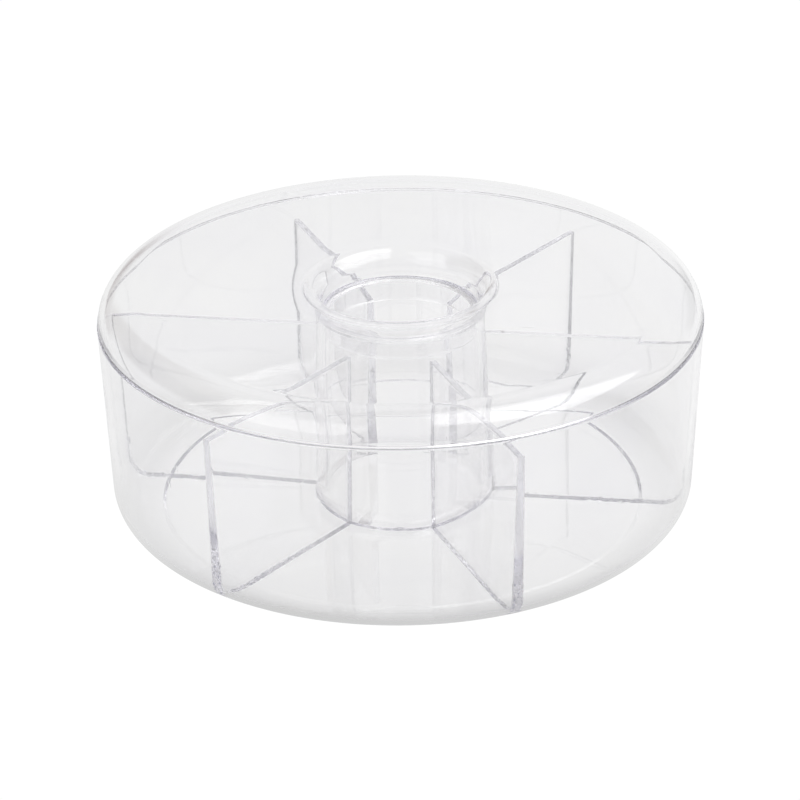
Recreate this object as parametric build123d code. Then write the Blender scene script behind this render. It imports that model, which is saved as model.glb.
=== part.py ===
from build123d import *
import os
from math import cos, hypot, radians, sin

# ---------------------------------------------------------------------------
# Round lidded storage caddy in clear plastic: a shallow drum-shaped tray with
# a hollow centre post and six radial dividers, closed by a loose lid whose
# centre well drops into the post.
# Millimetres, +Z up. Origin at the centre of the underside, Z = 0 is the
# surface that the caddy stands on. The dividers stand at 0, 60, 120 ... deg.
# ---------------------------------------------------------------------------

# overall
rim_radius = 100.0            # outside radius where lid and tray meet
tray_height = 67.3            # underside to the meeting plane
lid_height = 10.4             # meeting plane to the top face
total_height = tray_height + lid_height

# tray bowl
wall_base_radius = 97.35      # outside radius where the wall meets the corner
corner_radius = 9.8           # outside corner between wall and underside
wall_inner_top = 97.9         # inside radius at the rim
wall_inner_base = 95.2        # inside radius where the wall meets the corner
inner_corner_radius = 7.6     # inside corner between wall and floor
floor_top = 1.8               # height of the floor's upper face
foot_inner_radius = 81.2      # the foot is the ring outside this radius
foot_step = 0.5               # underside recess inside the foot
foot_bevel = 1.4              # slope of the step

# centre post
hub_outer_top = 27.7
hub_outer_base = 30.1
hub_inner_top = 25.5
hub_inner_base = 27.5
hub_edge = 0.35               # rounding of the post's rim

# dividers
divider_count = 6
divider_top = 60.2            # height of the upper edge
divider_thick_top = 2.0
divider_thick_base = 3.6
divider_edge = 0.35           # rounding of the upper edge

# lid
lid_rim_radius = 99.7         # the lid's rim, a little inside the tray's
shoulder_width = 11.2         # radial width of the rounded shoulder
plate_thickness = 2.1
shoulder_inner_width = 9.4    # the shoulder's inner face
shoulder_inner_radius = 97.6  # inside radius of the lid's rim

# lid centre well
well_edge_radius = 31.1       # where the top face starts to roll over
well_roll_width = 4.6
well_roll_height = 6.0
well_inner_base = 26.0        # inside radius just above the step
well_outer = 28.2             # outside radius of the upper wall
spigot_outer = 25.2           # the part that drops into the post
spigot_inner = 23.6
spigot_depth = 6.9            # below the meeting plane
spigot_step_height = 2.6      # rounded step inside the well

os.makedirs("parts", exist_ok=True)


def revolved(edges):
    """Solid of revolution about Z from a closed chain of edges in the XZ plane."""
    face = make_face(Wire(edges))
    return revolve(face, axis=Axis.Z)


def p(r, z):
    return (r, 0.0, z)


def seg(a, b):
    return Edge.make_line(Vector(*p(*a)), Vector(*p(*b)))


def oval_quarter(centre, rx, rz, sx, sz, x_end_first=True):
    """Quarter of an oval in the XZ plane as two tangent circular arcs.

    rx, rz are the half axes and sx, sz pick the quadrant. The chain runs from
    the end on the X axis to the end on the Z axis, or back.
    """
    a, b = max(rx, rz), min(rx, rz)
    c = hypot(a, b)
    small = c * (c - (a - b)) / (2 * a)
    big = c * (c + (a - b)) / (2 * b)
    d = ((a - small) / (big - small), (big - b) / (big - small)) if a > b else (cos(radians(45)), sin(radians(45)))
    joint = (a - small + small * d[0], small * d[1])

    def place(u, v):
        # u runs along the longer half axis, v along the shorter one
        x, z = (u, v) if rx >= rz else (v, u)
        return Vector(centre[0] + sx * x, 0, centre[1] + sz * z)

    def mid(cu, cv, r, p0, p1):
        m = ((p0[0] + p1[0]) / 2 - cu, (p0[1] + p1[1]) / 2 - cv)
        k = r / hypot(*m)
        return (cu + m[0] * k, cv + m[1] * k)

    first = (a, 0.0)                       # on the longer axis
    last = (0.0, b)                        # on the shorter axis
    arcs = [(first, mid(a - small, 0, small, first, joint), joint),
            (joint, mid(0, b - big, big, joint, last), last)]
    if rx < rz:
        arcs = [tuple(reversed(q)) for q in reversed(arcs)]
    if not x_end_first:
        arcs = [tuple(reversed(q)) for q in reversed(arcs)]
    return [Edge.make_three_point_arc(*[place(*v) for v in q]) for q in arcs]


def arc(centre, r, t0, t1):
    """Circular arc in the XZ plane, from angle t0 to t1 in degrees."""
    q = []
    for t in (t0, 0.5 * (t0 + t1), t1):
        q.append(Vector(centre[0] + r * cos(radians(t)), 0, centre[1] + r * sin(radians(t))))
    return Edge.make_three_point_arc(*q)


zp = tray_height
zt = total_height

# ---------------------------------------------------------------------------
# tray bowl: drafted wall, rounded corner, flat floor, ring-shaped foot
# ---------------------------------------------------------------------------
foot_outer_radius = wall_base_radius - corner_radius
floor_flat_radius = wall_inner_base - inner_corner_radius

bowl_edges = [
    seg((0, foot_step), (foot_inner_radius - foot_bevel, foot_step)),
    seg((foot_inner_radius - foot_bevel, foot_step), (foot_inner_radius, 0)),
    seg((foot_inner_radius, 0), (foot_outer_radius, 0)),
    arc((foot_outer_radius, corner_radius), corner_radius, -90, 0),
    seg((wall_base_radius, corner_radius), (rim_radius, zp)),
    seg((rim_radius, zp), (wall_inner_top, zp)),
    seg((wall_inner_top, zp), (wall_inner_base, floor_top + inner_corner_radius)),
    arc((floor_flat_radius, floor_top + inner_corner_radius), inner_corner_radius, 0, -90),
    seg((floor_flat_radius, floor_top), (0, floor_top)),
    seg((0, floor_top), (0, foot_step)),
]
tray_bowl = revolved(bowl_edges)
tray_bowl.label = "tray_bowl"

# ---------------------------------------------------------------------------
# centre post: drafted tube standing on the floor, rim level with the tray's
# ---------------------------------------------------------------------------
hub_edges = [
    seg((hub_inner_base, floor_top), (hub_outer_base, floor_top)),
    seg((hub_outer_base, floor_top), (hub_outer_top, zp - hub_edge)),
    arc((hub_outer_top - hub_edge, zp - hub_edge), hub_edge, 0, 90),
    seg((hub_outer_top - hub_edge, zp), (hub_inner_top + hub_edge, zp)),
    arc((hub_inner_top + hub_edge, zp - hub_edge), hub_edge, 90, 180),
    seg((hub_inner_top, zp - hub_edge), (hub_inner_base, floor_top)),
]
centre_post = revolved(hub_edges)
centre_post.label = "centre_post"

# ---------------------------------------------------------------------------
# dividers: drafted panels between post and wall, shaped to both, on the floor
# ---------------------------------------------------------------------------
# the ring-shaped room between the post and the wall, up to the dividers' top
slope_hub = (hub_outer_top - hub_outer_base) / (zp - hub_edge - floor_top)
hub_at_top = hub_outer_base + slope_hub * (divider_top - floor_top)
z_corner = floor_top + inner_corner_radius
slope_wall = (wall_inner_top - wall_inner_base) / (zp - z_corner)
wall_at_top = wall_inner_base + slope_wall * (divider_top - z_corner)

room_edges = [
    seg((hub_outer_base, floor_top), (floor_flat_radius, floor_top)),
    arc((floor_flat_radius, z_corner), inner_corner_radius, -90, 0),
    seg((wall_inner_base, z_corner), (wall_at_top, divider_top)),
    seg((wall_at_top, divider_top), (hub_at_top, divider_top)),
    seg((hub_at_top, divider_top), (hub_outer_base, floor_top)),
]
room = revolved(room_edges)

ht, hb = divider_thick_top / 2, divider_thick_base / 2
section = Polyline(
    (0, -hb, floor_top), (0, hb, floor_top),
    (0, ht + (hb - ht) * divider_edge / (divider_top - floor_top), divider_top - divider_edge),
    (0, ht - divider_edge, divider_top), (0, -ht + divider_edge, divider_top),
    (0, -ht - (hb - ht) * divider_edge / (divider_top - floor_top), divider_top - divider_edge),
    close=True)
slab = extrude(make_face(section), amount=rim_radius, dir=(1, 0, 0))

dividers = []
for k in range(divider_count):
    panel = slab.rotate(Axis.Z, 360.0 / divider_count * k) & room
    panel = panel.solids()[0] if len(panel.solids()) == 1 else panel
    panel.label = "divider_%d" % (k + 1)
    dividers.append(panel)

# ---------------------------------------------------------------------------
# lid: flat top, rounded shoulder flush with the tray and resting on its rim,
# and a rolled-over centre well with a spigot inside the post
# ---------------------------------------------------------------------------
top_under = zt - plate_thickness
sh_c = lid_rim_radius - shoulder_width                       # shoulder centre, outer face
si_c = shoulder_inner_radius - shoulder_inner_width      # shoulder centre, inner face
si_h = top_under - zp
shoulder_inner = oval_quarter((si_c, zp), shoulder_inner_width, si_h, 1, 1)

roll_c = (well_edge_radius, zt - well_roll_height)
roll_r = well_edge_radius - well_roll_width              # inner radius below the roll
under_roll = 5.0                                         # underside rounding at the well
spig_bottom = zp - spigot_depth
spig_tip = (spigot_outer - spigot_inner) / 2             # round end of the spigot
step_z = zp + 0.2

lid_edges = [
    seg((well_edge_radius, zt), (sh_c, zt)),
    *oval_quarter((sh_c, zp), shoulder_width, lid_height, 1, 1, x_end_first=False),
    seg((lid_rim_radius, zp), (shoulder_inner_radius, zp)),
    *shoulder_inner,
    seg((si_c, top_under), (well_outer + under_roll, top_under)),
    arc((well_outer + under_roll, top_under - under_roll), under_roll, 90, 180),
    seg((well_outer, top_under - under_roll), (well_outer - 0.15, zp)),
    seg((well_outer - 0.15, zp), (spigot_outer, zp)),
    seg((spigot_outer, zp), (spigot_outer, spig_bottom + spig_tip)),
    arc((spigot_outer - spig_tip, spig_bottom + spig_tip), spig_tip, 0, -180),
    seg((spigot_inner, spig_bottom + spig_tip), (spigot_inner + 0.1, step_z)),
    *oval_quarter((spigot_inner + 0.1, step_z + spigot_step_height),
                  well_inner_base - spigot_inner - 0.1, spigot_step_height, 1, -1, x_end_first=False),
    seg((well_inner_base, step_z + spigot_step_height), (roll_r, zt - well_roll_height)),
    *oval_quarter(roll_c, well_roll_width, well_roll_height, -1, 1),
]
lid = revolved(lid_edges)
lid.label = "lid"

# ---------------------------------------------------------------------------
nodes = {"tray_bowl": tray_bowl, "centre_post": centre_post, "lid": lid}
for k, d in enumerate(dividers):
    nodes["divider_%d" % (k + 1)] = d
for name, shape in nodes.items():
    export_step(shape, "parts/%s.step" % name)
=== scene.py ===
import math
import bmesh
import bpy
from mathutils import Matrix, Vector, noise


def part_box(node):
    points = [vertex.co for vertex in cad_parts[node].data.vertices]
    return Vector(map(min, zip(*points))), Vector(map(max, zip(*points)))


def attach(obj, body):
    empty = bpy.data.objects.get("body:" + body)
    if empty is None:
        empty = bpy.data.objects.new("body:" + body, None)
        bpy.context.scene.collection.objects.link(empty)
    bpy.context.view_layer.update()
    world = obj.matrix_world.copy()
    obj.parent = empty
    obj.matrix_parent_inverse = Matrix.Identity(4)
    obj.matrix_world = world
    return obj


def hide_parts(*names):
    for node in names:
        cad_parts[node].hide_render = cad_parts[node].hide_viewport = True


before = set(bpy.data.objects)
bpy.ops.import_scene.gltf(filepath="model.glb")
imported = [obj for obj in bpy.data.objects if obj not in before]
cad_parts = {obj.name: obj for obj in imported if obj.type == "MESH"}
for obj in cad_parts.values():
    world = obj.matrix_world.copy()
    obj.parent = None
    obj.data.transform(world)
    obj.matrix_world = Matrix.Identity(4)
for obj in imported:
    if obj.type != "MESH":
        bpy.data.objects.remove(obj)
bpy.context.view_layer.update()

# ---------------------------------------------------------------------------
# sizes, in metres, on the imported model
# ---------------------------------------------------------------------------
MM = 0.001
bowl_lo, bowl_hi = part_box("tray_bowl")
lid_lo, lid_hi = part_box("lid")
post_lo, post_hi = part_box("centre_post")
div_lo, div_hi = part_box("divider_1")

RIM_R = bowl_hi[0]
RIM_Z = bowl_hi[2]                    # the plane where lid and tray meet
TOP_Z = lid_hi[2]
LID_R = lid_hi[0]
FLOOR_Z = post_lo[2]                  # upper face of the tray's floor
DIV_TOP = div_hi[2]
POST_BASE_R = post_hi[0]
GAP = 0.05 * MM                       # a hairline of air between pieces that touch
BOND = 0.05 * MM                      # how far pieces moulded together run into each other
SEG = 384

WALL_BASE_R, CORNER_R = 97.35 * MM, 9.8 * MM
WALL_IN_TOP, WALL_IN_BASE, IN_CORNER = 97.9 * MM, 95.2 * MM, 7.6 * MM
FOOT_R, FOOT_STEP, FOOT_BEVEL = 81.2 * MM, 0.5 * MM, 1.4 * MM
POST_TOP_R, POST_IN_TOP, POST_IN_BASE = 27.7 * MM, 25.5 * MM, 27.5 * MM
DIV_THIN, DIV_THICK = 2.0 * MM, 3.6 * MM


# ---------------------------------------------------------------------------
# profile helpers: a closed chain of corners, each with its own rounding
# ---------------------------------------------------------------------------
def rounded(corners, support=0.25 * MM):
    """corners: (r, z, rounding, steps). Returns a dense closed profile with
    support points beside every rounding, so smooth shading stays true."""
    n = len(corners)
    out = []
    for i in range(n):
        r, z, rad, steps = corners[i]
        p = Vector((r, z))
        a = Vector(corners[i - 1][:2])
        b = Vector(corners[(i + 1) % n][:2])
        if rad <= 0:
            out.append((p.x, p.y))
            continue
        da, db = (a - p), (b - p)
        la, lb = da.length, db.length
        da.normalize()
        db.normalize()
        ang = da.angle(db)
        t = min(rad / math.tan(ang / 2), la * 0.85, lb * 0.85)
        rr = t * math.tan(ang / 2)
        pa, pb = p + da * t, p + db * t
        bis = (da + db).normalized()
        c = p + bis * (rr / math.sin(ang / 2))
        va, vb = pa - c, pb - c
        sup = min(support, 0.4 * (la - t))
        out.append(tuple(pa + da * sup))
        for k in range(steps + 1):
            f = k / steps
            w = va.angle(vb)
            v = (va * math.sin((1 - f) * w) + vb * math.sin(f * w)) / math.sin(w)
            out.append(tuple(c + v))
        sup = min(support, 0.4 * (lb - t))
        out.append(tuple(pb + db * sup))
    return out


def oval(cr, cz, rx, rz, sx, sz, steps, x_first=True, from_r=None):
    """Quarter of an oval made of two tangent arcs, as in the CAD part."""
    a, b = max(rx, rz), min(rx, rz)
    c = math.hypot(a, b)
    small = c * (c - (a - b)) / (2 * a)
    big = c * (c + (a - b)) / (2 * b)
    d = ((a - small) / (big - small), (big - b) / (big - small))
    jt = (a - small + small * d[0], small * d[1])
    pts = []
    u0 = a if from_r is None else abs(from_r - cr)
    w0 = math.acos(min(1.0, (u0 - (a - small)) / small))
    w1 = math.atan2(jt[1], jt[0] - (a - small))
    for k in range(steps + 1):
        w = w0 + (w1 - w0) * k / steps
        pts.append((a - small + small * math.cos(w), small * math.sin(w)))
    v0 = math.atan2(jt[1] - (b - big), jt[0])
    for k in range(1, steps + 1):
        w = v0 + (math.pi / 2 - v0) * k / steps
        pts.append((big * math.cos(w), b - big + big * math.sin(w)))
    if rx < rz:
        pts = [(v, u) for u, v in pts][::-1]
    if not x_first:
        pts = pts[::-1]
    return [(cr + sx * u, cz + sz * v) for u, v in pts]


def densify(pts, longest):
    """Adds points on long straight runs, so that slight waviness can show."""
    out = []
    for i, p in enumerate(pts):
        q = pts[(i + 1) % len(pts)]
        out.append(p)
        if p[0] < 1e-9 and q[0] < 1e-9:
            continue
        d = math.hypot(q[0] - p[0], q[1] - p[1])
        k = int(d // longest)
        for j in range(1, k + 1):
            f = j / (k + 1)
            out.append((p[0] + (q[0] - p[0]) * f, p[1] + (q[1] - p[1]) * f))
    return out


def finish_mesh(name, bm, body, slot, mat, *nodes):
    bmesh.ops.recalc_face_normals(bm, faces=bm.faces)
    me = bpy.data.meshes.new(name)
    bm.to_mesh(me)
    bm.free()
    for f in me.polygons:
        f.use_smooth = True
    me.materials.append(mat)
    ob = bpy.data.objects.new(name, me)
    bpy.context.scene.collection.objects.link(ob)
    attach(ob, body)
    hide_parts(*nodes)
    return ob


def wobble(v, amp, scale, seed):
    """A moulding's slight unevenness: a smooth shift of the surface."""
    q = Vector((v[0] * scale + seed, v[1] * scale - seed, v[2] * scale + 2.7 * seed))
    return amp * noise.noise(q)


def lathe(profile, name, body, slot, mat, nodes, amp=0.0, scale=40.0, seed=1.0):
    """Closed solid of revolution. A profile that touches the axis gets poles."""
    bm = bmesh.new()
    rings = []
    n = len(profile)
    for r, z in profile:
        if r < 1e-9:
            rings.append([bm.verts.new((0, 0, z))])
        else:
            ring = []
            for k in range(SEG):
                t = 2 * math.pi * k / SEG
                x, y = r * math.cos(t), r * math.sin(t)
                dz = wobble((x, y, z), amp, scale, seed) if amp else 0.0
                dr = wobble((y, -x, z), amp, scale, seed + 5) if amp else 0.0
                f = 1 + dr / r
                ring.append(bm.verts.new((x * f, y * f, z + dz)))
            rings.append(ring)
    for i in range(n):
        a, b = rings[i], rings[(i + 1) % n]
        if len(a) == 1 and len(b) == 1:
            continue
        for k in range(SEG):
            k2 = (k + 1) % SEG
            if len(a) == 1:
                bm.faces.new((a[0], b[k2], b[k]))
            elif len(b) == 1:
                bm.faces.new((a[k], a[k2], b[0]))
            else:
                bm.faces.new((a[k], a[k2], b[k2], b[k]))
    return finish_mesh(name, bm, body, slot, mat, *nodes)


# ---------------------------------------------------------------------------
# material: clear moulded plastic
# ---------------------------------------------------------------------------
def clear_plastic(name, seed, tint=(0.991, 0.990, 0.991), ior=1.56, density=5.0,
                  wave=0.018, scratch=0.02, flow=False):
    mat = bpy.data.materials.new(name)
    mat.use_nodes = True
    nt = mat.node_tree
    nt.nodes.clear()
    N, L = nt.nodes.new, nt.links.new
    out = N("ShaderNodeOutputMaterial")
    bsdf = N("ShaderNodeBsdfPrincipled")
    bsdf.inputs["Transmission Weight"].default_value = 1.0
    bsdf.inputs["IOR"].default_value = ior
    L(bsdf.outputs[0], out.inputs["Surface"])
    vol = N("ShaderNodeVolumeAbsorption")
    vol.inputs["Color"].default_value = (0.69, 0.68, 0.76, 1)
    vol.inputs["Density"].default_value = density
    L(vol.outputs[0], out.inputs["Volume"])
    tc = N("ShaderNodeTexCoord")
    mp = N("ShaderNodeMapping")
    mp.inputs["Location"].default_value = (seed, -seed * 0.7, seed * 0.3)
    L(tc.outputs["Object"], mp.inputs["Vector"])

    # faint variation of the tint, as in recycled or uneven resin
    n1 = N("ShaderNodeTexNoise")
    n1.inputs["Scale"].default_value = 22.0
    n1.inputs["Detail"].default_value = 3.0
    L(mp.outputs[0], n1.inputs["Vector"])
    ramp = N("ShaderNodeValToRGB")
    ramp.color_ramp.elements[0].position = 0.3
    ramp.color_ramp.elements[0].color = (tint[0] * 0.985, tint[1] * 0.985, tint[2] * 0.992, 1)
    ramp.color_ramp.elements[1].position = 0.7
    ramp.color_ramp.elements[1].color = (min(1, tint[0] * 1.01), min(1, tint[1] * 1.01), min(1, tint[2] * 1.005), 1)
    L(n1.outputs["Fac"], ramp.inputs["Fac"])
    L(ramp.outputs["Color"], bsdf.inputs["Base Color"])

    # roughness: polished, with a little handling haze along worn edges
    n2 = N("ShaderNodeTexNoise")
    n2.inputs["Scale"].default_value = 90.0
    n2.inputs["Detail"].default_value = 5.0
    L(mp.outputs[0], n2.inputs["Vector"])
    mr = N("ShaderNodeMapRange")
    mr.inputs["From Min"].default_value = 0.45
    mr.inputs["From Max"].default_value = 0.8
    mr.inputs["To Min"].default_value = 0.004
    mr.inputs["To Max"].default_value = 0.035
    L(n2.outputs["Fac"], mr.inputs["Value"])
    geo = N("ShaderNodeNewGeometry")
    wr = N("ShaderNodeMapRange")
    wr.inputs["From Min"].default_value = 0.55
    wr.inputs["From Max"].default_value = 0.75
    wr.inputs["To Min"].default_value = 0.0
    wr.inputs["To Max"].default_value = 0.06
    L(geo.outputs["Pointiness"], wr.inputs["Value"])
    add = N("ShaderNodeMath")
    add.operation = "ADD"
    L(mr.outputs[0], add.inputs[0])
    L(wr.outputs[0], add.inputs[1])
    L(add.outputs[0], bsdf.inputs["Roughness"])

    # bump: long moulding waves, fine flow ripple and hairline scratches
    n3 = N("ShaderNodeTexNoise")
    n3.inputs["Scale"].default_value = 38.0
    n3.inputs["Detail"].default_value = 2.0
    L(mp.outputs[0], n3.inputs["Vector"])
    b1 = N("ShaderNodeBump")
    b1.inputs["Strength"].default_value = wave
    b1.inputs["Distance"].default_value = 0.001
    L(n3.outputs["Fac"], b1.inputs["Height"])
    mp2 = N("ShaderNodeMapping")
    mp2.inputs["Rotation"].default_value = (0.3, 0.2, 0.9 + seed)
    mp2.inputs["Scale"].default_value = (60.0, 900.0, 300.0)
    L(tc.outputs["Object"], mp2.inputs["Vector"])
    n4 = N("ShaderNodeTexNoise")
    n4.inputs["Scale"].default_value = 1.0
    n4.inputs["Detail"].default_value = 2.0
    L(mp2.outputs[0], n4.inputs["Vector"])
    sr = N("ShaderNodeMapRange")
    sr.inputs["From Min"].default_value = 0.66
    sr.inputs["From Max"].default_value = 0.74
    L(n4.outputs["Fac"], sr.inputs["Value"])
    b2 = N("ShaderNodeBump")
    b2.inputs["Strength"].default_value = scratch
    b2.inputs["Distance"].default_value = 0.0002
    L(sr.outputs[0], b2.inputs["Height"])
    L(b1.outputs[0], b2.inputs["Normal"])
    last = b2
    if flow:
        # flow marks and trapped bubbles where the melt met: at the foot of a
        # divider, most of all at its outer end
        sp = N("ShaderNodeSeparateXYZ")
        L(tc.outputs["Object"], sp.inputs[0])
        cb = N("ShaderNodeCombineXYZ")
        L(sp.outputs["X"], cb.inputs[0])
        L(sp.outputs["Y"], cb.inputs[1])
        ln = N("ShaderNodeVectorMath")
        ln.operation = "LENGTH"
        L(cb.outputs[0], ln.inputs[0])

        def ramped(v, a, b, hi=1.0):
            n = N("ShaderNodeMapRange")
            n.interpolation_type = "SMOOTHSTEP"
            n.inputs["From Min"].default_value = a
            n.inputs["From Max"].default_value = b
            n.inputs["To Max"].default_value = hi
            L(v, n.inputs["Value"])
            return n.outputs[0]

        def zero():
            n = N("ShaderNodeValue")
            n.outputs[0].default_value = 0.0
            return n.outputs[0]

        def add_to(v, c):
            n = N("ShaderNodeMath")
            n.operation = "ADD"
            L(v, n.inputs[0])
            n.inputs[1].default_value = c
            return n.outputs[0]

        def join(kind, a, b):
            n = N("ShaderNodeMath")
            n.operation = kind
            L(a, n.inputs[0])
            L(b, n.inputs[1])
            return n.outputs[0]

        # distance from the middle of the foot's rounding: only the skin of the
        # panel's end and foot carries the marks
        over = join("MAXIMUM", add_to(ln.outputs["Value"], -0.0876), zero())
        down = join("MINIMUM", add_to(sp.outputs["Z"], -0.0094), zero())
        cd = N("ShaderNodeCombineXYZ")
        L(over, cd.inputs[0])
        L(down, cd.inputs[1])
        l2 = N("ShaderNodeVectorMath")
        l2.operation = "LENGTH"
        L(cd.outputs[0], l2.inputs[0])
        skin = ramped(l2.outputs["Value"], 0.0069, 0.0073)
        low = ramped(sp.outputs["Z"], 0.0168, 0.0140)
        along = ramped(ln.outputs["Value"], 0.030, 0.092, 0.9)
        marks = join("MULTIPLY", join("MULTIPLY", skin, low), along)
        n5 = N("ShaderNodeTexNoise")
        n5.inputs["Scale"].default_value = 420.0
        n5.inputs["Detail"].default_value = 3.0
        L(mp.outputs[0], n5.inputs["Vector"])
        n6 = N("ShaderNodeTexVoronoi")
        n6.inputs["Scale"].default_value = 520.0
        L(mp.outputs[0], n6.inputs["Vector"])
        hsum = join("ADD", n5.outputs["Fac"], n6.outputs["Distance"])
        b3 = N("ShaderNodeBump")
        b3.inputs["Distance"].default_value = 0.0015
        L(marks, b3.inputs["Strength"])
        L(hsum, b3.inputs["Height"])
        L(last.outputs[0], b3.inputs["Normal"])
        last = b3
        # bubbles and cold specks in the same places, darker than the melt
        n7 = N("ShaderNodeTexVoronoi")
        n7.inputs["Scale"].default_value = 760.0
        L(mp.outputs[0], n7.inputs["Vector"])
        specks = join("MULTIPLY", marks, ramped(n7.outputs["Distance"], 0.36, 0.26))
        mc = N("ShaderNodeMix")
        mc.data_type = "RGBA"
        L(specks, mc.inputs["Factor"])
        L(ramp.outputs["Color"], mc.inputs[6])
        mc.inputs[7].default_value = (0.24, 0.24, 0.34, 1)
        L(mc.outputs[2], bsdf.inputs["Base Color"])
    L(last.outputs[0], bsdf.inputs["Normal"])
    return mat


mat_bowl = clear_plastic("tray_bowl_clear", 1.3)
mat_post = clear_plastic("centre_post_clear", 2.9)
mat_div = clear_plastic("divider_clear", 4.1, density=5.0, flow=True)
mat_lid = clear_plastic("lid_clear", 6.7)

# ---------------------------------------------------------------------------
# tray bowl
# ---------------------------------------------------------------------------
flat_r = WALL_IN_BASE - IN_CORNER
z_c = FLOOR_Z + IN_CORNER
# where the wall's two faces would meet the ground and the floor unrounded
low_out = WALL_BASE_R - CORNER_R * (RIM_R - WALL_BASE_R) / (RIM_Z - CORNER_R)
low_in = WALL_IN_BASE - IN_CORNER * (WALL_IN_TOP - WALL_IN_BASE) / (RIM_Z - z_c)
bowl = [(0, FOOT_STEP)]
bowl += rounded([
    (0, FOOT_STEP, 0, 0),
    (FOOT_R - FOOT_BEVEL, FOOT_STEP, 1.6 * MM, 6),
    (FOOT_R, 0, 1.2 * MM, 6),
    (low_out, 0, CORNER_R, 22),
    (RIM_R, RIM_Z, 0.55 * MM, 6),
    (WALL_IN_TOP, RIM_Z, 0.3 * MM, 5),
    (low_in, FLOOR_Z, IN_CORNER, 18),
    (0, FLOOR_Z, 0, 0),
])[1:]
bowl_ob = lathe(densify(bowl, 6 * MM), "tray_bowl_shell", "tray", "tray_clear", mat_bowl, ["tray_bowl"])

# ---------------------------------------------------------------------------
# centre post
# ---------------------------------------------------------------------------
pz = FLOOR_Z - BOND
FILLET, POST_FILLET = 0.18 * MM, 0.15 * MM        # moulding radii where walls rise
post_foot = []
for j in range(6):
    a = math.pi / 2 * j / 5
    post_foot.append((POST_BASE_R + POST_FILLET * (1 - math.sin(a)), FLOOR_Z + POST_FILLET * (1 - math.cos(a))))
post = rounded([
    (POST_IN_BASE, pz, 0, 0),
    (POST_BASE_R + POST_FILLET, pz, 0, 0)] + [(r, z, 0, 0) for r, z in post_foot] + [
    (POST_TOP_R, RIM_Z - GAP, 0.45 * MM, 6),
    (POST_IN_TOP, RIM_Z - GAP, 0.45 * MM, 6),
])
lathe(densify(post, 6 * MM), "centre_post_tube", "tray", "tray_clear", mat_post, ["centre_post"])

# ---------------------------------------------------------------------------
# dividers: drafted panels whose ends follow the post and the wall
# ---------------------------------------------------------------------------
POST_SLOPE = (POST_TOP_R - POST_BASE_R) / (RIM_Z - 0.35 * MM - FLOOR_Z)
WALL_SLOPE = (WALL_IN_TOP - WALL_IN_BASE) / (RIM_Z - z_c)


def post_r(z):
    return POST_BASE_R + POST_SLOPE * (z - FLOOR_Z) - BOND


def wall_r(z):
    if z >= z_c:
        return WALL_IN_BASE + WALL_SLOPE * (z - z_c) + BOND
    d = min(1.0, (z_c - z) / (IN_CORNER + BOND))
    return flat_r + (IN_CORNER + BOND) * math.sqrt(max(0.0, 1 - d * d))


def divider(k):
    z0, z1 = FLOOR_Z - BOND, DIV_TOP
    zs = [z0] + [FLOOR_Z + FILLET * (1 - math.cos(math.pi / 2 * j / 6)) for j in range(7)]
    for f in (0.013, 0.021, 0.031, 0.043, 0.057, 0.073, 0.09, 0.11, 0.135,
              0.17, 0.22, 0.28, 0.35, 0.42, 0.5, 0.58, 0.66, 0.74, 0.82, 0.89, 0.94, 0.975):
        zs.append(z0 + (z1 - z0) * f)
    er = 0.35 * MM

    def half(z):
        w = (DIV_THICK + (DIV_THIN - DIV_THICK) * (z - FLOOR_Z) / (DIV_TOP - FLOOR_Z)) / 2
        d = max(0.0, min(1.0, 1 - (z - FLOOR_Z) / FILLET))
        return w + FILLET * (1 - math.sqrt(max(0.0, 1 - d * d)))

    side = [(half(z), z) for z in zs]
    top_c = z1 - er
    for j in range(7):
        a = math.pi / 2 * j / 6
        side.append((half(top_c) - er + er * math.cos(a), top_c + er * math.sin(a)))
    # closed loop across the panel, from one foot edge over the top to the other
    loop = side + [(-y, z) for y, z in reversed(side)]
    inner = [(y, z) for y, z in loop]
    n = len(inner)
    near = [0.0, 0.054 * MM] + [BOND + FILLET * (1 - math.cos(math.pi / 2 * q / 5)) for q in range(2, 6)] + [1.0 * MM]
    ang = 2 * math.pi * k / 6
    rot = Matrix.Rotation(ang, 4, "Z")
    bm = bmesh.new()
    rows = []

    def place(dist, from_wall, frac=None):
        """One cross-section loop at a distance from the post or from the wall."""
        row = []
        for y, z in inner:
            d = 1.0 if dist is None else max(0.0, min(1.0, 1 - (dist - BOND) / FILLET))
            y2 = y + math.copysign(FILLET * (1 - math.sqrt(max(0.0, 1 - d * d))), y)
            xa = math.sqrt(post_r(z) ** 2 - y2 * y2)
            xb = math.sqrt(wall_r(z) ** 2 - y2 * y2)
            if frac is not None:
                xa, xb = xa + 1.0 * MM, xb - 1.0 * MM
                row.append(bm.verts.new(rot @ Vector((xa + (xb - xa) * frac, y, z))))
            elif from_wall:
                row.append(bm.verts.new(rot @ Vector((xb - dist, y2, z))))
            else:
                row.append(bm.verts.new(rot @ Vector((xa + dist, y2, z))))
        rows.append(row)

    for dist in near:
        place(dist, False)
    for q in range(1, 15):
        place(None, False, q / 15)
    for dist in reversed(near):
        place(dist, True)
    for a, b in zip(rows, rows[1:]):
        for i in range(n):
            j = (i + 1) % n
            bm.faces.new((a[i], a[j], b[j], b[i]))
    h = n // 2
    for row in (rows[0], rows[-1]):
        for i in range(h - 1):
            bm.faces.new((row[i], row[i + 1], row[n - 2 - i], row[n - 1 - i]))
    ob = finish_mesh("divider_panel_%d" % (k + 1), bm, "tray", "tray_clear", mat_div, "divider_%d" % (k + 1))
    bev = ob.modifiers.new("edge", "BEVEL")
    bev.width = 0.18 * MM
    bev.segments = 3
    bev.limit_method = "ANGLE"
    bev.angle_limit = math.radians(50)
    bev.harden_normals = True
    return ob


for k in range(6):
    divider(k)

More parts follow.
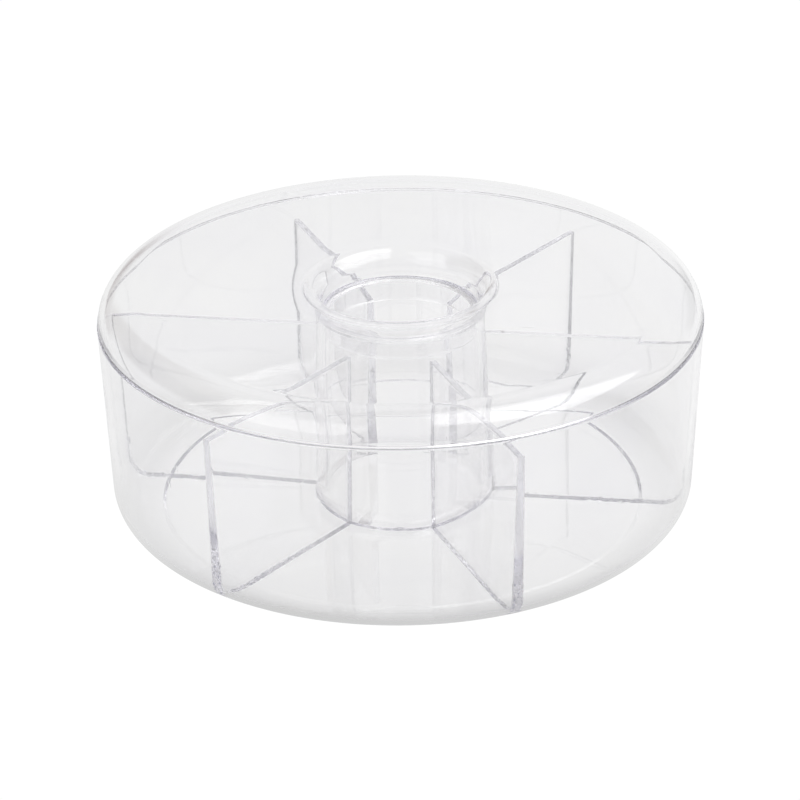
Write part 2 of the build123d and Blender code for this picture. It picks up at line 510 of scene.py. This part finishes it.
# ---------------------------------------------------------------------------
# lid
# ---------------------------------------------------------------------------
PLATE = 2.1 * MM
SH_W, SH_IN_W, SH_IN_R = 11.2 * MM, 9.4 * MM, 97.6 * MM
WELL_EDGE, ROLL_W, ROLL_H = 31.1 * MM, 4.6 * MM, 6.0 * MM
WELL_IN, WELL_OUT = 26.0 * MM, 28.2 * MM
SPIG_OUT, SPIG_IN, SPIG_DEEP, STEP_H = 25.2 * MM, 23.6 * MM, 6.9 * MM, 2.6 * MM

under = TOP_Z - PLATE
zr = RIM_Z + GAP
lid = []
lid += oval(LID_R - SH_W, RIM_Z, SH_W, TOP_Z - RIM_Z, 1, 1, 16, x_first=False)[:-1]
edge = 0.5 * MM
for j in range(7):
    a = -math.pi / 2 * j / 6
    lid.append((LID_R - edge + edge * math.cos(a), zr + edge + edge * math.sin(a)))
edge = 0.25 * MM
for j in range(5):
    a = -math.pi / 2 - math.pi / 2 * j / 4
    lid.append((SH_IN_R + edge + edge * math.cos(a), zr + edge + edge * math.sin(a)))
inner_sh = oval(SH_IN_R - SH_IN_W, RIM_Z, SH_IN_W, under - RIM_Z, 1, 1, 14)
inner_sh = [q for q in inner_sh if q[1] > zr + edge + 0.1 * MM]
lid += inner_sh
rr = 5.0 * MM
for j in range(13):
    a = math.pi / 2 + math.pi / 2 * j / 12
    lid.append((WELL_OUT + rr + rr * math.cos(a), under - rr + rr * math.sin(a)))
lid += [(WELL_OUT - 0.12 * MM, zr + 0.5 * MM), (WELL_OUT - 0.15 * MM, zr + 0.22 * MM), (WELL_OUT - 0.25 * MM, zr + 0.06 * MM), (WELL_OUT - 0.45 * MM, zr),
        (SPIG_OUT + 0.15 * MM, zr), (SPIG_OUT, zr - 0.12 * MM), (SPIG_OUT, zr - 0.4 * MM)]
tip = (SPIG_OUT - SPIG_IN) / 2
zs = RIM_Z - SPIG_DEEP
lid.append((SPIG_OUT, zs + tip + 0.4 * MM))
for j in range(13):
    a = -math.pi * j / 12
    lid.append((SPIG_OUT - tip + tip * math.cos(a), zs + tip + tip * math.sin(a)))
lid.append((SPIG_IN, zs + tip + 0.4 * MM))
lid += [(SPIG_IN + 0.09 * MM, RIM_Z - 0.3 * MM)]
lid += oval(SPIG_IN + 0.1 * MM, RIM_Z + 0.2 * MM + STEP_H, WELL_IN - SPIG_IN - 0.1 * MM, STEP_H, 1, -1, 6, x_first=False)
roll_r = WELL_EDGE - ROLL_W
zroll = TOP_Z - ROLL_H
lid += [(WELL_IN + (roll_r - WELL_IN) * 0.9, zroll - 0.3 * MM)]
lid += oval(WELL_EDGE, zroll, ROLL_W, ROLL_H, -1, 1, 12)
lid += [(WELL_EDGE + 0.4 * MM, TOP_Z), (LID_R - SH_W - 0.4 * MM, TOP_Z)]
clean = []
for q in lid:
    if not clean or math.hypot(q[0] - clean[-1][0], q[1] - clean[-1][1]) > 0.004 * MM:
        clean.append(q)
lid_ob = lathe(densify(clean, 6 * MM), "lid_shell", "lid", "lid_clear", mat_lid, ["lid"])

# ---------------------------------------------------------------------------
# stage: pale floor, soft light
# ---------------------------------------------------------------------------
bm = bmesh.new()
bmesh.ops.create_circle(bm, cap_ends=True, segments=96, radius=6.0)
me = bpy.data.meshes.new("floor")
bm.to_mesh(me)
bm.free()
floor = bpy.data.objects.new("floor", me)
floor.location = (0, 0, -0.0003)
bpy.context.scene.collection.objects.link(floor)
fm = bpy.data.materials.new("floor_white")
fm.use_nodes = True
nt = fm.node_tree
nt.nodes.clear()
o = nt.nodes.new("ShaderNodeOutputMaterial")
N, L = nt.nodes.new, nt.links.new
tc = N("ShaderNodeTexCoord")
sep = N("ShaderNodeSeparateXYZ")
L(tc.outputs["Object"], sep.inputs[0])
mr = N("ShaderNodeMapRange")            # the sweep is a little darker to the left
mr.inputs["From Min"].default_value = -0.16
mr.inputs["From Max"].default_value = 0.16
mr.inputs["To Min"].default_value = 0.875
mr.inputs["To Max"].default_value = 0.945
L(sep.outputs["X"], mr.inputs["Value"])
flat = N("ShaderNodeCombineXYZ")
L(sep.outputs["X"], flat.inputs[0])
L(sep.outputs["Y"], flat.inputs[1])
length = N("ShaderNodeVectorMath")
length.operation = "LENGTH"
L(flat.outputs[0], length.inputs[0])


def smooth(v, a, b, lo, hi):
    n = N("ShaderNodeMapRange")
    n.interpolation_type = "SMOOTHSTEP"
    for key, val in (("From Min", a), ("From Max", b), ("To Min", lo), ("To Max", hi)):
        n.inputs[key].default_value = val
    L(v, n.inputs["Value"])
    return n.outputs[0]


# soft contact shade under the rounded edge of the tray
rise = smooth(length.outputs["Value"], 0.078, 0.091, 0.0, 1.0)
fall = smooth(length.outputs["Value"], 0.097, 0.125, 1.0, 0.0)
both = N("ShaderNodeMath")
both.operation = "MULTIPLY"
L(rise, both.inputs[0])
L(fall, both.inputs[1])
depth_x = smooth(sep.outputs["X"], -0.095, -0.03, 0.10, 0.24)    # shallower at the left and behind
depth_y = smooth(sep.outputs["Y"], -0.085, -0.025, 0.24, 0.12)
depth = N("ShaderNodeMath")
depth.operation = "MINIMUM"
L(depth_x, depth.inputs[0])
L(depth_y, depth.inputs[1])
deep = N("ShaderNodeMath")
deep.operation = "MULTIPLY"
L(both.outputs[0], deep.inputs[0])
L(depth.outputs[0], deep.inputs[1])
shade = N("ShaderNodeMath")
shade.operation = "SUBTRACT"
shade.inputs[0].default_value = 1.0
L(deep.outputs[0], shade.inputs[1])
front = smooth(sep.outputs["Y"], -0.085, 0.020, 0.91, 1.0)       # the sweep dims a little to the front
level = N("ShaderNodeMath")
level.operation = "MULTIPLY"
L(mr.outputs[0], level.inputs[0])
L(front, level.inputs[1])
lit = N("ShaderNodeMath")
lit.operation = "MULTIPLY"
L(level.outputs[0], lit.inputs[0])
L(shade.outputs[0], lit.inputs[1])
lp = N("ShaderNodeLightPath")
mix = N("ShaderNodeMix")
mix.data_type = "FLOAT"
L(lp.outputs["Is Camera Ray"], mix.inputs[0])
L(lit.outputs[0], mix.inputs[2])
mix.inputs[3].default_value = 1.02
em = N("ShaderNodeEmission")
em.inputs["Color"].default_value = (1, 1, 1, 1)
L(mix.outputs[0], em.inputs["Strength"])
L(em.outputs[0], o.inputs["Surface"])
me.materials.append(fm)

world = bpy.data.worlds.new("studio")
world.use_nodes = True
bpy.context.scene.world = world
nt = world.node_tree
nt.nodes.clear()
N, L = nt.nodes.new, nt.links.new
wo = N("ShaderNodeOutputWorld")
bg = N("ShaderNodeBackground")
tc = N("ShaderNodeTexCoord")
AZIM = math.radians(8.2)


def direction(az, el):
    """Unit vector; azimuth 0 is away from the camera and grows to its right."""
    a, e = math.radians(az), math.radians(el)
    x, y = math.sin(a) * math.cos(e), math.cos(a) * math.cos(e)
    return Vector((x * math.cos(AZIM) - y * math.sin(AZIM), x * math.sin(AZIM) + y * math.cos(AZIM), math.sin(e)))


def op(kind, a, b=None):
    n = N("ShaderNodeMath")
    n.operation = kind
    for i, v in enumerate((a, b)):
        if v is None:
            continue
        if isinstance(v, (int, float)):
            n.inputs[i].default_value = v
        else:
            L(v, n.inputs[i])
    return n.outputs[0]


def dot(vec):
    n = N("ShaderNodeVectorMath")
    n.operation = "DOT_PRODUCT"
    L(tc.outputs["Generated"], n.inputs[0])
    n.inputs[1].default_value = vec
    return n.outputs["Value"]


def step(v, lo, hi):
    n = N("ShaderNodeMapRange")
    n.interpolation_type = "SMOOTHSTEP"
    n.inputs["From Min"].default_value = lo
    n.inputs["From Max"].default_value = hi
    L(v, n.inputs["Value"])
    return n.outputs[0]


def panel(az, el, a0, a1, b0, b1, soft):
    """Mask of a flat rectangular panel seen from the object, with soft edges."""
    c = direction(az, el)
    t = math.radians(az)
    u = direction(az + 90, 0)
    v = c.cross(u)
    if v.z < 0:
        v = -v
    dc = op("MAXIMUM", dot(c), 0.001)
    a = op("DIVIDE", dot(u), dc)
    b = op("DIVIDE", dot(v), dc)
    m = op("MULTIPLY", step(a, a0 - soft, a0 + soft), step(a, a1 + soft, a1 - soft))
    m = op("MULTIPLY", m, step(b, b0 - soft, b0 + soft))
    m = op("MULTIPLY", m, step(b, b1 + soft, b1 - soft))
    return op("MULTIPLY", m, step(dc, 0.02, 0.1))


def blend(base, colour, mask):
    n = N("ShaderNodeMix")
    n.data_type = "RGBA"
    L(mask, n.inputs["Factor"])
    if isinstance(base, tuple):
        n.inputs[6].default_value = base
    else:
        L(base, n.inputs[6])
    n.inputs[7].default_value = colour
    return n.outputs[2]


sky = blend((0.905, 0.905, 0.91, 1), (0.97, 0.97, 0.97, 1), step(dot((0, 0, 1)), 0.3, 0.9))
sky = blend(sky, (0.40, 0.37, 0.355, 1), panel(-70, 25, -0.92, 0.85, -0.20, 0.60, 0.14))    # dark room, left
sky = blend(sky, (0.07, 0.052, 0.050, 1), panel(-84, 22, -0.52, 0.62, -0.10, 0.42, 0.12))
sky = blend(sky, (0.52, 0.49, 0.49, 1), panel(-27, 3, -0.30, 0.28, -0.14, 0.15, 0.07))     # low, behind on the left
sky = blend(sky, (0.66, 0.66, 0.66, 1), panel(31, 6, -0.20, 0.24, -0.14, 0.16, 0.08))      # low, behind on the right
sky = blend(sky, (0.62, 0.62, 0.64, 1), panel(180, 8, -0.45, 0.45, -0.22, 0.26, 0.12))      # around the lens
sky = blend(sky, (0.90, 0.90, 0.90, 1), panel(75, 4, -0.40, 0.45, -0.20, 0.16, 0.12))      # under the key, right
sky = blend(sky, (3.0, 3.0, 3.0, 1), panel(82, 58, -0.21, 0.66, -0.48, 0.50, 0.05))        # key softbox
sky = blend(sky, (1.75, 1.75, 1.75, 1), panel(-136, 38, -0.38, 0.40, -0.42, 0.40, 0.07))    # fill softbox
lp = N("ShaderNodeLightPath")
sky = blend(sky, (1.0, 1.0, 1.0, 1), lp.outputs["Is Camera Ray"])
L(sky, bg.inputs["Color"])
bg.inputs["Strength"].default_value = 1.0
L(bg.outputs[0], wo.inputs["Surface"])


def softbox(name, loc, aim, sx, sy, power, color=(1, 1, 1)):
    li = bpy.data.lights.new(name, "AREA")
    li.shape = "RECTANGLE"
    li.size, li.size_y = sx, sy
    li.energy = power
    li.color = color
    ob = bpy.data.objects.new(name, li)
    ob.location = loc
    d = Vector(aim) - Vector(loc)
    ob.rotation_euler = d.to_track_quat("-Z", "Y").to_euler()
    bpy.context.scene.collection.objects.link(ob)
    return ob


# ---------------------------------------------------------------------------
# camera: long lens, 25 degrees above the rim's plane
# ---------------------------------------------------------------------------
ELEV, ROLL = 0.43665, 0.01346
DIST, FPX, OX, OY = 11.5 * RIM_R, 3483.13, 0.405, -88.756
back = Vector((math.sin(AZIM) * math.cos(ELEV), -math.cos(AZIM) * math.cos(ELEV), math.sin(ELEV)))
fwd = -back
right = fwd.cross(Vector((0, 0, 1))).normalized()
up = right.cross(fwd)
cr_, sr_ = math.cos(ROLL), math.sin(ROLL)
r1 = right * cr_ - up * sr_
u1 = right * sr_ + up * cr_
d = Vector((OX / FPX, -OY / FPX, 1.0)).normalized()
ax = Vector((0, 0, 1)).cross(d)
m = Matrix.Rotation(math.asin(ax.length), 3, ax.normalized())
rows = Matrix((r1, u1, fwd))            # world to (right, up, forward)
rows = m @ rows
cam_r, cam_u, cam_f = (Vector(rows[i]) for i in range(3))
cam = bpy.data.cameras.new("camera")
cam.sensor_width = 36.0
cam.lens = FPX / 800.0 * 36.0
cam.clip_start, cam.clip_end = 0.05, 50.0
cob = bpy.data.objects.new("camera", cam)
mw = Matrix((cam_r, cam_u, -cam_f)).transposed().to_4x4()
mw.translation = Vector((0, 0, RIM_Z)) + back * DIST
cob.matrix_world = mw
bpy.context.scene.collection.objects.link(cob)
bpy.context.scene.camera = cob

# lights, placed in the camera's left/right sense
ca, sa = math.cos(AZIM), math.sin(AZIM)


def at(x, y, z):
    return (x * ca - y * sa, x * sa + y * ca, z)


softbox("key_right", at(0.9, -0.1, 1.4), (0, 0, 0.05), 0.9, 0.9, 1.2)

sc = bpy.context.scene
sc.view_settings.view_transform = "Standard"
sc.cycles.max_bounces = 96
sc.cycles.transmission_bounces = 96
sc.cycles.glossy_bounces = 96
sc.cycles.transparent_max_bounces = 32
sc.cycles.use_denoising = True
